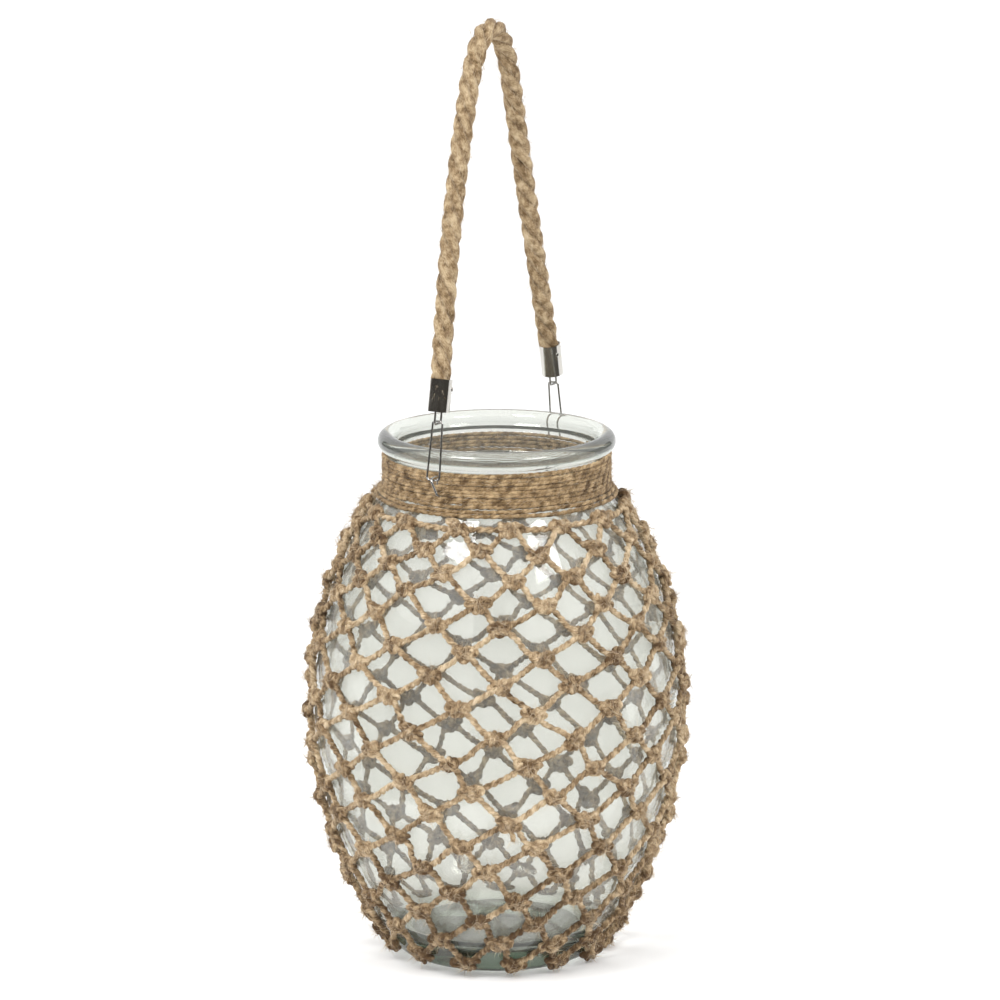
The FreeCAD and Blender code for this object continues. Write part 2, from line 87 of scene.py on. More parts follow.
class Bin:
    """Collects swept strands and makes one mesh of them.

    UV "strand" holds the length along a strand in mm and the share of the way round it. The
    attribute "tone" holds each strand's own colour tone, with painted shade added on the lowest net rows.
    """

    def __init__(self):
        self.verts, self.loops, self.uvs, self.tones, self.sizes = [], [], [], [], []
        self.count = 0

    def sweep(self, centre, normal, binormal, radius, sides, along, tone, ridge=None):
        """Tubes along centre (m, n, 3); radius is (n,) or (m, n); along is the length at each ring in mm."""
        m, n, _ = centre.shape
        turn = np.arange(sides) * 2 * np.pi / sides
        rad = np.broadcast_to(np.asarray(radius, float), (m, n))[:, :, None]
        if ridge is not None:
            rad = rad * ridge(turn[None, None, :], np.broadcast_to(along, (m, n))[:, :, None])
        else:
            rad = np.repeat(rad, sides, axis=2)
        ring = (
            centre[:, :, None, :]
            + rad[..., None] * np.cos(turn)[None, None, :, None] * normal[:, :, None, :]
            + rad[..., None] * np.sin(turn)[None, None, :, None] * binormal[:, :, None, :]
        )
        base = self.count + np.arange(m)[:, None, None] * (n * sides)
        i = np.arange(n - 1)[None, :, None]
        c = np.arange(sides)[None, None, :]
        c2 = (c + 1) % sides
        this, following = base + i * sides, base + (i + 1) * sides
        quads = np.stack([this + c, this + c2, following + c2, following + c], axis=-1)
        length = np.broadcast_to(along, (m, n))
        u0 = np.broadcast_to(length[:, :-1, None], (m, n - 1, sides))
        u1 = np.broadcast_to(length[:, 1:, None], (m, n - 1, sides))
        v0 = np.broadcast_to(c / sides, (m, n - 1, sides))
        v1 = v0 + 1 / sides
        uv = np.stack([u0, v0, u0, v1, u1, v1, u1, v0], axis=-1)
        tones = np.broadcast_to(np.reshape(tone, (m, 1, 1)), (m, n - 1, sides))
        self.verts.append(ring.reshape(-1, 3))
        self.loops.append(quads.reshape(-1))
        self.uvs.append(uv.reshape(-1, 2))
        self.tones.append(np.repeat(tones.reshape(-1), 4))
        self.sizes.append(np.full(m * (n - 1) * sides, 4))
        for end, flip in ((0, True), (n - 1, False)):
            cap = base[:, 0, 0][:, None] + end * sides + np.arange(sides)[None, :]
            if flip:
                cap = cap[:, ::-1]
            self.loops.append(cap.reshape(-1))
            self.uvs.append(np.zeros((m * sides, 2)))
            self.tones.append(np.repeat(np.reshape(tone, (m,)), sides))
            self.sizes.append(np.full(m, sides))
        self.count += m * n * sides

    def make(self, name, material):
        verts = np.concatenate(self.verts) * MM
        loops = np.concatenate(self.loops)
        sizes = np.concatenate(self.sizes)
        me = bpy.data.meshes.new(name)
        me.vertices.add(len(verts))
        me.vertices.foreach_set("co", verts.astype(np.float32).ravel())
        me.loops.add(len(loops))
        me.loops.foreach_set("vertex_index", loops.astype(np.int32))
        me.polygons.add(len(sizes))
        me.polygons.foreach_set("loop_start", (np.cumsum(sizes) - sizes).astype(np.int32))
        me.polygons.foreach_set("loop_total", sizes.astype(np.int32))
        me.update(calc_edges=True)
        layer = me.uv_layers.new(name="strand")
        layer.data.foreach_set("uv", np.concatenate(self.uvs).astype(np.float32).ravel())
        tone = me.attributes.new("tone", "FLOAT", "CORNER")
        tone.data.foreach_set("value", np.concatenate(self.tones).astype(np.float32))
        me.shade_smooth()
        me.materials.append(material)
        ob = bpy.data.objects.new(name, me)
        scene.collection.objects.link(ob)
        return ob


def tangents(path):
    return unit(np.gradient(path, axis=-2))


def lengths(path):
    step = np.linalg.norm(np.diff(path, axis=-2), axis=-1)
    return np.concatenate([np.zeros(step.shape[:-1] + (1,)), np.cumsum(step, axis=-1)], axis=-1)


def transport(path, first):
    """A normal carried along each path without twist, starting near first."""
    t = tangents(path)
    out = np.zeros_like(path)
    now = first
    for i in range(path.shape[1]):
        now = unit(now - (now * t[:, i]).sum(-1, keepdims=True) * t[:, i])
        out[:, i] = now
    return out


def twist(store, path, normal, plies, offset, ply_radius, lay, sides, tone,
          taper=None, ridge=None, phase=None):
    """Plies wound round each path (m, n, 3), all in mm; ridge gives each ply's own outline."""
    m, n, _ = path.shape
    t = tangents(path)
    normal = unit(normal - (normal * t).sum(-1, keepdims=True) * t)
    binormal = np.cross(t, normal)
    along = lengths(path)
    start = rng.random((m, 1)) * 2 * np.pi if phase is None else np.full((m, 1), phase)
    fade = np.ones(n) if taper is None else taper
    for p in range(plies):
        turn = -2 * np.pi * along / lay + start + 2 * np.pi * p / plies
        radial = np.cos(turn)[..., None] * normal + np.sin(turn)[..., None] * binormal
        centre = path + offset * fade[None, :, None] * radial
        ct = tangents(centre)
        out = unit(radial - (radial * ct).sum(-1, keepdims=True) * ct)
        side = np.cross(ct, out)
        store.sweep(centre, out, side, ply_radius * fade, sides, along,
                    tone + 0.12 * rng.standard_normal(m), ridge)


HAIR_TAPER = np.array([1, 1, 0.9, 0.75, 0.5, 0.2])
TABLE_GAP = 0.15  # the lowest that a fibre reaches above the table


def hairs(store, roots, outward, length, thick, lift, tangential=None):
    """Fine loose fibres from roots (m, 3), leaving mostly along the surface and curling off it."""
    m = len(roots)
    size = length * (0.4 + 1.2 * rng.random((m, 1)))
    way = unit(rng.standard_normal((m, 3)))
    if tangential is not None:
        way = unit(tangential * rng.choice([-1.0, 1.0], (m, 1)) + 0.55 * way)
    way = unit(way - (way * outward).sum(-1, keepdims=True) * outward * 0.9)
    curl = unit(rng.standard_normal((m, 3)))
    s = np.linspace(0, 1, len(HAIR_TAPER))[None, :, None]
    path = (
        roots[:, None, :]
        + size[:, None, :] * s * way[:, None, :]
        + lift * size[:, None, :] * s**1.5 * outward[:, None, :] * rng.random((m, 1, 1))
        + 0.35 * size[:, None, :] * s**2 * curl[:, None, :]
    )
    path[..., 2] = np.maximum(path[..., 2], TABLE_GAP)
    normal = transport(path, outward + 0.01)
    side = np.cross(tangents(path), normal)
    store.sweep(path, normal, side, thick * HAIR_TAPER, 3, lengths(path), rng.random(m))


# ------------------------------------------------------------ materials
def shader(name):
    mat = bpy.data.materials.new(name)
    mat.use_nodes = True
    nodes = mat.node_tree.nodes
    return mat, nodes, mat.node_tree.links, nodes["Principled BSDF"]


def ramp(nodes, stops):
    node = nodes.new("ShaderNodeValToRGB")
    elements = node.color_ramp.elements
    while len(elements) < len(stops):
        elements.new(0.5)
    for element, (at, colour) in zip(elements, stops):
        element.position = at
        element.color = (*colour, 1.0)
    return node


def jute(name, dark, mid, light, stretch, bump, spread=0.30, fine=2.6):
    """Spun jute: fibres run along each strand, with darker and paler ones and a dull sheen."""
    mat, nodes, links, bsdf = shader(name)
    uv = nodes.new("ShaderNodeUVMap")
    uv.uv_map = "strand"
    scale = nodes.new("ShaderNodeMapping")
    scale.inputs["Scale"].default_value = (0.30, stretch, 1.0)
    links.new(uv.outputs["UV"], scale.inputs["Vector"])
    fibre = nodes.new("ShaderNodeTexNoise")
    fibre.inputs["Scale"].default_value = fine
    fibre.inputs["Detail"].default_value = 6.0
    fibre.inputs["Roughness"].default_value = 0.75
    links.new(scale.outputs["Vector"], fibre.inputs["Vector"])
    place = nodes.new("ShaderNodeTexCoord")
    blotch = nodes.new("ShaderNodeTexNoise")
    blotch.inputs["Scale"].default_value = 260.0
    blotch.inputs["Detail"].default_value = 4.0
    links.new(place.outputs["Object"], blotch.inputs["Vector"])
    tone = nodes.new("ShaderNodeAttribute")
    tone.attribute_name = "tone"
    add = nodes.new("ShaderNodeMath")
    add.operation = "MULTIPLY_ADD"
    add.inputs[1].default_value = spread
    links.new(tone.outputs["Fac"], add.inputs[0])
    links.new(fibre.outputs["Fac"], add.inputs[2])
    total = nodes.new("ShaderNodeMath")
    total.operation = "MULTIPLY_ADD"
    total.inputs[1].default_value = 0.75
    links.new(blotch.outputs["Fac"], total.inputs[0])
    links.new(add.outputs[0], total.inputs[2])
    shift = nodes.new("ShaderNodeMath")
    shift.operation = "SUBTRACT"
    shift.inputs[1].default_value = 0.525
    links.new(total.outputs[0], shift.inputs[0])
    colour = ramp(nodes, [(0.33, dark), (0.5, mid), (0.68, light)])
    links.new(shift.outputs[0], colour.inputs["Fac"])
    links.new(colour.outputs["Color"], bsdf.inputs["Base Color"])
    rough = nodes.new("ShaderNodeMapRange")
    rough.inputs["To Min"].default_value = 0.68
    rough.inputs["To Max"].default_value = 0.95
    links.new(fibre.outputs["Fac"], rough.inputs["Value"])
    links.new(rough.outputs["Result"], bsdf.inputs["Roughness"])
    relief = nodes.new("ShaderNodeBump")
    relief.inputs["Strength"].default_value = bump
    relief.inputs["Distance"].default_value = 0.0004
    links.new(fibre.outputs["Fac"], relief.inputs["Height"])
    links.new(relief.outputs["Normal"], bsdf.inputs["Normal"])
    bsdf.inputs["Specular IOR Level"].default_value = 0.25
    bsdf.inputs["Sheen Weight"].default_value = 0.12
    bsdf.inputs["Sheen Roughness"].default_value = 0.5
    return mat


net_mat = jute("net_jute", (0.099, 0.055, 0.024), (0.387, 0.27, 0.15), (0.72, 0.575, 0.387), 5.0, 1.0)
wrap_mat = jute("wrap_jute", (0.083, 0.046, 0.018), (0.307, 0.204, 0.099), (0.581, 0.424, 0.243), 5.0, 1.0)
rope_mat = jute("rope_jute", (0.103, 0.058, 0.023), (0.297, 0.2, 0.104), (0.568, 0.442, 0.279), 14.0, 1.0)
hair_mat = jute("loose_fibre", (0.26, 0.16, 0.08), (0.55, 0.42, 0.27), (0.80, 0.67, 0.49), 2.0, 0.0)


def metal(name, colour, low, high, scale, stretch):
    """Bright plated metal with faint drawing marks and smears."""
    mat, nodes, links, bsdf = shader(name)
    place = nodes.new("ShaderNodeTexCoord")
    mapping = nodes.new("ShaderNodeMapping")
    mapping.inputs["Scale"].default_value = stretch
    links.new(place.outputs["Object"], mapping.inputs["Vector"])
    grain = nodes.new("ShaderNodeTexNoise")
    grain.inputs["Scale"].default_value = scale
    grain.inputs["Detail"].default_value = 5.0
    links.new(mapping.outputs["Vector"], grain.inputs["Vector"])
    rough = nodes.new("ShaderNodeMapRange")
    rough.inputs["From Min"].default_value = 0.3
    rough.inputs["From Max"].default_value = 0.7
    rough.inputs["To Min"].default_value = low
    rough.inputs["To Max"].default_value = high
    links.new(grain.outputs["Fac"], rough.inputs["Value"])
    links.new(rough.outputs["Result"], bsdf.inputs["Roughness"])
    shade = ramp(nodes, [(0.25, tuple(0.82 * c for c in colour)), (0.75, colour)])
    links.new(grain.outputs["Fac"], shade.inputs["Fac"])
    links.new(shade.outputs["Color"], bsdf.inputs["Base Color"])
    relief = nodes.new("ShaderNodeBump")
    relief.inputs["Strength"].default_value = 0.08
    relief.inputs["Distance"].default_value = 0.0002
    links.new(grain.outputs["Fac"], relief.inputs["Height"])
    links.new(relief.outputs["Normal"], bsdf.inputs["Normal"])
    bsdf.inputs["Metallic"].default_value = 1.0
    return mat


def glass(name, colour, transmission, tint_colour, density):
    """Pressed glass: slightly wavy, with faint smears, and grey-green where it is thick."""
    mat, nodes, links, bsdf = shader(name)
    bsdf.inputs["Base Color"].default_value = (*colour, 1.0)
    bsdf.inputs["Transmission Weight"].default_value = transmission
    bsdf.inputs["IOR"].default_value = 1.5
    place = nodes.new("ShaderNodeTexCoord")
    smear = nodes.new("ShaderNodeTexNoise")
    smear.inputs["Scale"].default_value = 38.0
    smear.inputs["Detail"].default_value = 3.0
    links.new(place.outputs["Object"], smear.inputs["Vector"])
    rough = nodes.new("ShaderNodeMapRange")
    rough.inputs["From Min"].default_value = 0.45
    rough.inputs["From Max"].default_value = 0.75
    rough.inputs["To Min"].default_value = 0.0
    rough.inputs["To Max"].default_value = 0.04
    links.new(smear.outputs["Fac"], rough.inputs["Value"])
    links.new(rough.outputs["Result"], bsdf.inputs["Roughness"])
    ripple = nodes.new("ShaderNodeTexNoise")
    ripple.inputs["Scale"].default_value = 26.0
    ripple.inputs["Detail"].default_value = 1.5
    links.new(place.outputs["Object"], ripple.inputs["Vector"])
    relief = nodes.new("ShaderNodeBump")
    relief.inputs["Strength"].default_value = 0.25
    relief.inputs["Distance"].default_value = 0.002
    links.new(ripple.outputs["Fac"], relief.inputs["Height"])
    links.new(relief.outputs["Normal"], bsdf.inputs["Normal"])
    tint = nodes.new("ShaderNodeVolumeAbsorption")
    tint.inputs["Color"].default_value = (*tint_colour, 1.0)
    tint.inputs["Density"].default_value = density
    links.new(tint.outputs["Volume"], nodes["Material Output"].inputs["Volume"])
    return mat


def matte(name, colour, glow=0.0):
    """A plain dull surface for the stage."""
    mat, _, _, bsdf = shader(name)
    bsdf.inputs["Base Color"].default_value = (*colour, 1.0)
    bsdf.inputs["Roughness"].default_value = 0.9
    if glow:
        bsdf.inputs["Emission Color"].default_value = (1.0, 1.0, 1.0, 1.0)
        bsdf.inputs["Emission Strength"].default_value = glow
    return mat


nickel_mat = metal("nickel_plate", (0.66, 0.64, 0.60), 0.08, 0.20, 260.0, (1.0, 1.0, 0.12))
wire_mat = metal("bright_wire", (0.62, 0.61, 0.59), 0.12, 0.28, 420.0, (1.0, 1.0, 1.0))
glass_mat = glass("clear_glass", (0.905, 0.90, 0.872), 0.93, (0.62, 0.68, 0.62), 56.0)
floor_mat = matte("pale_floor", (0.96, 0.96, 0.96), glow=0.10)
card_mat = matte("dark_card", (0.055, 0.05, 0.043))
shade_mat = matte("shade_under_jar", (0.17, 0.16, 0.14))

# ------------------------------------------------------------ rope handle
# The route's points are those of the rope in the CAD model, moved by up to 4.2 mm to follow the lean
# that the real rope has. Its two halves mirror each other.
HALF_ROUTE = [
    (-0.0562, 0.0, 0.2883),
    (-0.0460, 0.0026, 0.3380),
    (-0.0305, 0.0042, 0.4014),
    (-0.0130, 0.0034, 0.4632),
]
ROPE_R, STRAND_R, ROPE_LAY, ROPE_STEP = 5.0, 2.62, 29.0, 0.7
ROPE_HAIRS = 3000


def smooth_line(route):
    """Points of the smooth line that the route's points pull into shape."""
    curve = bpy.data.curves.new("rope_route", "CURVE")
    curve.dimensions = "3D"
    curve.resolution_u = 48
    spline = curve.splines.new("NURBS")
    spline.points.add(len(route) - 1)
    for point, (x, y, z) in zip(spline.points, route):
        point.co = (x, y, z, 1.0)
    spline.order_u = 3
    spline.use_endpoint_u = True
    holder = bpy.data.objects.new("rope_route", curve)
    scene.collection.objects.link(holder)
    mesh = bpy.data.meshes.new_from_object(holder)
    line = np.array([v.co for v in mesh.vertices])
    bpy.data.meshes.remove(mesh)
    bpy.data.objects.remove(holder)
    bpy.data.curves.remove(curve)
    return line


def spaced(points, step):
    along = lengths(points)
    at = np.linspace(0, along[-1], int(math.ceil(along[-1] / step)) + 1)
    return np.stack([np.interp(at, along, points[:, k]) for k in range(3)], axis=1)


def yarns(turn, along):
    """Yarn ridges that run round each strand against the rope's lay, with some unevenness."""
    phase = turn - 2 * np.pi * along / ROPE_LAY
    return (1.0 + 0.045 * np.cos(7 * phase) + 0.03 * np.cos(11 * phase + along * 0.21)
            + 0.03 * np.sin(2 * turn + along * 0.5) + 0.02 * np.sin(along * 0.37))


def lay_rope(path):
    """Three strands round the path, and the loose fibres on them."""
    sideways = np.array([0.0, 1.0, 0.0])
    strands = Bin()
    normal = np.tile(sideways, (1, len(path), 1))
    twist(strands, path[None], normal, 3, ROPE_R - STRAND_R, STRAND_R, ROPE_LAY, 36,
          np.array([0.5]), ridge=yarns, phase=0.4)
    fibres = Bin()
    pick = rng.integers(8, len(path) - 8, ROPE_HAIRS)
    tangent = tangents(path)[pick]
    normal = np.tile(sideways, (ROPE_HAIRS, 1))
    angle = rng.random((ROPE_HAIRS, 1)) * 2 * np.pi
    outward = unit(np.cos(angle) * normal + np.sin(angle) * np.cross(tangent, normal))
    hairs(fibres, path[pick] + outward * (ROPE_R - 0.9), outward, 5.0, 0.07, 0.55, tangent)
    return strands.make("rope_strands", rope_mat), fibres.make("rope_fibres", hair_mat)


rope_route = HALF_ROUTE + [(-x, y, z) for x, y, z in reversed(HALF_ROUTE)]
rope_path = spaced(smooth_line(rope_route) / MM, ROPE_STEP)
rope, rope_fuzz = lay_rope(rope_path)

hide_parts("rope")
for ob in (rope, rope_fuzz):
    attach(ob, "handle")

# ------------------------------------------------------------ jar outline, as in the CAD model
R_BELLY, Z_BELLY, LOWER, UPPER, WALL = 91.3, 128.0, 215.0, 182.0, 4.0
NECK, MOUTH, HEEL, BEAD, RIM_TOP = 54.3, 49.6, 9.0, 4.65, 264.5
FLOOR, FOOT_IN, PUNT = 14.0, 36.0, 1.8
SHOULDER, INNER_SHOULDER, INNER_HEEL, RIM_FLAT = 6.0, 8.0, 16.0, 0.3


def meet(radius, inset, size, x=None, z=None, outside=False):
    """Centre of a fillet of that size between a body arc and a line, and where it meets the arc."""
    r = radius - inset
    mid = R_BELLY - radius
    reach = r + size if outside else r - size
    if x is not None:
        cx = x + size
        cz = Z_BELLY + math.sqrt(reach**2 - (cx - mid) ** 2)
    else:
        cz = z + size
        cx = mid + math.sqrt(reach**2 - (cz - Z_BELLY) ** 2)
    k = r / reach
    return (cx, cz), (mid + (cx - mid) * k, Z_BELLY + (cz - Z_BELLY) * k)


heel_c, heel_t = meet(LOWER, 0, HEEL, z=0.0)
neck_c, neck_t = meet(UPPER, 0, SHOULDER, x=NECK, outside=True)
in_heel_c, in_heel_t = meet(LOWER, WALL, INNER_HEEL, z=FLOOR)
in_neck_c, in_neck_t = meet(UPPER, WALL, INNER_SHOULDER, x=MOUTH, outside=True)


def glass_radius(z):
    z = np.asarray(z, float)
    heel = heel_c[0] + np.sqrt(np.maximum(HEEL**2 - (z - heel_c[1]) ** 2, 0))
    low = R_BELLY - LOWER + np.sqrt(np.maximum(LOWER**2 - (z - Z_BELLY) ** 2, 0))
    high = R_BELLY - UPPER + np.sqrt(np.maximum(UPPER**2 - (z - Z_BELLY) ** 2, 0))
    turn = neck_c[0] - np.sqrt(np.maximum(SHOULDER**2 - (z - neck_c[1]) ** 2, 0))
    return np.select(
        [z < heel_t[1], z < Z_BELLY, z < neck_t[1], z < neck_c[1]], [heel, low, high, turn], NECK
    )


def skin(turn, z, out):
    """Points standing off the glass; turn in degrees, z and out in mm."""
    dr = (glass_radius(np.asarray(z) + 0.01) - glass_radius(np.asarray(z) - 0.01)) / 0.02
    size = np.hypot(1.0, dr)
    r = glass_radius(z) + out / size
    a = np.radians(turn)
    point = np.stack([r * np.cos(a), r * np.sin(a), z - out * dr / size], axis=-1)
    normal = np.stack([np.cos(a) / size, np.sin(a) / size, -dr / size], axis=-1)
    return point, normal


def arc(centre, a, b, n):
    """Points round centre from a to b the short way, without the last."""
    r = math.hypot(a[0] - centre[0], a[1] - centre[1])
    ta = math.atan2(a[1] - centre[1], a[0] - centre[0])
    tb = math.atan2(b[1] - centre[1], b[0] - centre[0])
    while tb - ta > math.pi:
        tb -= 2 * math.pi
    while ta - tb > math.pi:
        tb += 2 * math.pi
    steps = [ta + (tb - ta) * i / n for i in range(n)]
    return [(centre[0] + r * math.cos(step), centre[1] + r * math.sin(step)) for step in steps]


def straight(a, b, n):
    return [(a[0] + (b[0] - a[0]) * i / n, a[1] + (b[1] - a[1]) * i / n) for i in range(n)]


bead_x = MOUTH + BEAD
bead_high = RIM_TOP - BEAD
bead_low = bead_high - RIM_FLAT
bead_foot = bead_low - math.sqrt(BEAD**2 - (NECK - bead_x) ** 2)
low_c, high_c = (R_BELLY - LOWER, Z_BELLY), (R_BELLY - UPPER, Z_BELLY)
punt_r = (FOOT_IN**2 + PUNT**2) / (2 * PUNT)
outline = (
    arc((0.0, PUNT - punt_r), (0.0, PUNT), (FOOT_IN, 0.0), 10)
    + straight((FOOT_IN, 0.0), (heel_c[0], 0.0), 3)
    + arc(heel_c, (heel_c[0], 0.0), heel_t, 10)
    + arc(low_c, heel_t, (R_BELLY, Z_BELLY), 46)
    + arc(high_c, (R_BELLY, Z_BELLY), neck_t, 46)
    + arc(neck_c, neck_t, (NECK, neck_c[1]), 8)
    + straight((NECK, neck_c[1]), (NECK, bead_foot - 0.5), 6)
    + arc((bead_x, bead_low), (NECK, bead_foot), (bead_x + BEAD, bead_low), 14)
    + straight((bead_x + BEAD, bead_low), (bead_x + BEAD, bead_high), 2)
    + arc((bead_x, bead_high), (bead_x + BEAD, bead_high), (bead_x, RIM_TOP), 14)
    + arc((bead_x, bead_high), (bead_x, RIM_TOP), (MOUTH, bead_high), 14)
    + straight((MOUTH, bead_high), (MOUTH, in_neck_c[1]), 10)
    + arc(in_neck_c, (MOUTH, in_neck_c[1]), in_neck_t, 8)
    + arc(high_c, in_neck_t, (R_BELLY - WALL, Z_BELLY), 44)
    + arc(low_c, (R_BELLY - WALL, Z_BELLY), in_heel_t, 44)
    + arc(in_heel_c, in_heel_t, (in_heel_c[0], FLOOR), 14)
    + straight((in_heel_c[0], FLOOR), (0.0, FLOOR), 10)
    + [(0.0, FLOOR)]
)


def lathe(name, profile, segments, material, wobble):
    """A turned closed solid, in mm, with a faint waviness of pressed glass."""
    profile = np.array(profile)
    turn = np.arange(segments) * 2 * np.pi / segments
    rings = profile[1:-1]
    r, z = rings[:, 0][:, None], rings[:, 1][:, None]
    wave = wobble * (np.sin(3 * turn + 0.03 * z) + 0.6 * np.sin(5 * turn - 0.05 * z + 1.0)
                     + 0.5 * np.sin(8 * turn + 0.08 * z)) * np.clip(r / 60, 0, 1) * ((z > 20) & (z < 225))
    verts = np.stack(np.broadcast_arrays((r + wave) * np.cos(turn), (r + wave) * np.sin(turn), z), axis=-1)
    n = len(rings)
    verts = np.concatenate([verts.reshape(-1, 3), [[0, 0, profile[0, 1]], [0, 0, profile[-1, 1]]]]) * MM
    faces = []
    for i in range(n - 1):
        for c in range(segments):
            d = (c + 1) % segments
            faces.append((i * segments + c, i * segments + d, (i + 1) * segments + d, (i + 1) * segments + c))
    for c in range(segments):
        d = (c + 1) % segments
        faces.append((n * segments, d, c))
        faces.append((n * segments + 1, (n - 1) * segments + c, (n - 1) * segments + d))
    me = bpy.data.meshes.new(name)
    me.from_pydata(verts.tolist(), [], faces)
    me.shade_smooth()
    me.materials.append(material)
    ob = bpy.data.objects.new(name, me)
    scene.collection.objects.link(ob)
    return ob


jar = lathe("jar_glass", outline, 256, glass_mat, wobble=0.10)
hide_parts("glass_jar")
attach(jar, "jar")
jar.visible_shadow = False  # lamp light reaches the inside of the net through the glass

# ------------------------------------------------------------ knotted net
MESHES, COURSES, NET_TOP, NET_BOTTOM = 15, 18, 227.0, 8.5
LEAN_AXIS = 209.5  # the rows lean about this turn and are lowest a quarter turn past it
KNOT_OUT, KNOT_WIDE, KNOT_HIGH, KNOT_DEEP = 3.0, 1.88, 1.02, 0.8
LOOP_ASIDE, LOOP_HIGH, LOOP_DEEP = 1.7, 2.7, 1.5
KNOT_FOOT = 2.2  # the lowest that the middle of a knot's cord lies above the table
LEG_ASIDE, LEG_DROP, LEG_POINTS = 2.6, 1.0, 30
KNOT_HAIRS, LEG_HAIRS, TAIL_HAIRS, WRAP_HAIRS = 60, 20, 26, 3600
ROWS_PER_FUZZ = 3
TAILS = [(4, 11), (7, 10), (11, 9), (12, 10), (15, 12), (16, 12), (9, 3), (14, 14)]  # row and knot


def course_heights():
    """Row heights along the glass, a little closer together near the top."""
    z = np.linspace(NET_TOP, NET_BOTTOM, 601)
    r = glass_radius(z)
    along = np.concatenate([[0], np.cumsum(np.hypot(np.diff(z), np.diff(r)))])
    share = np.linspace(0, 1, COURSES)
    return np.interp(along[-1] * (share - 0.034 * np.sin(np.pi * share)), along, z)


ROWS = course_heights()


def knot_turn(k, j):
    drift = -1.4 - 0.113 * k**2
    wander = 1.3 * math.sin(2.1 * k + 1.7 * j) + 0.9 * math.sin(0.8 * k * j + 0.5)
    return 360.0 / MESHES * (j + 0.5 * (k % 2)) + drift + wander


def knot_height(k, j):
    if k == 0:
        return ROWS[k]
    lean = 5.5 * min(1.0, k / 3, (COURSES - k) / 2.5)
    wander = 0.0 if k == COURSES - 1 else 1.0 * math.sin(1.3 * k + 2.4 * j)
    return ROWS[k] + wander - lean * math.sin(math.radians(knot_turn(k, j) - LEAN_AXIS))


def row_knots(k):
    """The turn and height of each knot in row k."""
    row = range(MESHES)
    return np.array([knot_turn(k, j) for j in row]), np.array([knot_height(k, j) for j in row])


def low_row_painted_shade(k):
    """How much painted shade darkens the lowest rows, near the table; plump also scales their thickness by
    it.
    """
    return 0.07 * max(0, k - 11)


def plump(k):
    """How much thicker the lowest rows are."""
    return 1.0 + 0.45 * low_row_painted_shade(k)


def knot_axes(turn, z, out, spin):
    """Origin and axes of a knot: x round the jar, y up the glass, n outward, turned by spin."""
    point, normal = skin(turn, z, out)
    x = np.stack([-np.sin(np.radians(turn)), np.cos(np.radians(turn)), np.zeros_like(turn)], axis=-1)
    y = np.cross(normal, x)
    c, s = np.cos(spin)[:, None], np.sin(spin)[:, None]
    return point, x * c + y * s, y * c - x * s, normal


def knot_paths(turn, z, size):
    """A tight overhand knot and a waist loop at each place, as paths of cord centres."""
    m = len(turn)
    spin = 0.28 * rng.standard_normal(m)
    o, x, y, n = knot_axes(turn, z, KNOT_OUT, spin)
    flip = rng.choice([-1.0, 1.0], m)[:, None, None]
    t = np.linspace(0.25, 2 * np.pi + 0.05, 46)[None, :, None]
    grow = (size + 0.10 * rng.standard_normal(m))[:, None, None]
    kx = (np.sin(t) + 2 * np.sin(2 * t)) * KNOT_WIDE * grow * flip
    ky = (np.cos(t) - 2 * np.cos(2 * t)) * KNOT_HIGH * grow
    kn = -np.sin(3 * t) * KNOT_DEEP
    trefoil = o[:, None] + kx * x[:, None] + ky * y[:, None] + kn * n[:, None]
    t = np.linspace(0, 2 * np.pi + 0.4, 28)[None, :, None]
    lean = (0.5 + 0.6 * rng.random(m))[:, None, None] * flip
    shift = (0.9 * rng.standard_normal(m))[:, None, None]
    loop = (
        o[:, None] + (LOOP_ASIDE * np.cos(t) * lean + shift) * x[:, None]
        + LOOP_HIGH * np.cos(t) * y[:, None] + LOOP_DEEP * np.sin(t) * n[:, None]
    )
    return trefoil, loop, o, n


def uneven(m, n, amount):
    """A slowly varying factor along each strand."""
    s = np.linspace(0, 1, n)[None, :]
    total = np.ones((m, n))
    for waves in (2.3, 4.1, 7.7):
        total += amount * np.sin(2 * np.pi * (waves * s + rng.random((m, 1)))) * rng.random((m, 1))
    return total


def tie_knots(store, k):
    """The knots of row k; gives back their middles and outward directions."""
    trefoil, loop, centre, out = knot_paths(*row_knots(k), plump(k))
    # the knots of the lowest rows get painted shade: their tone is lowered near the table
    tone = 0.40 - low_row_painted_shade(k) + 0.11 * rng.standard_normal(MESHES)
    for path in (trefoil, loop):
        path[..., 2] = np.maximum(path[..., 2], KNOT_FOOT)
        radius = 1.12 * uneven(MESHES, path.shape[1], 0.16)
        twist(store, path, transport(path, out), 2, 0.72, radius, 9.0, 8, tone)
    return centre, out


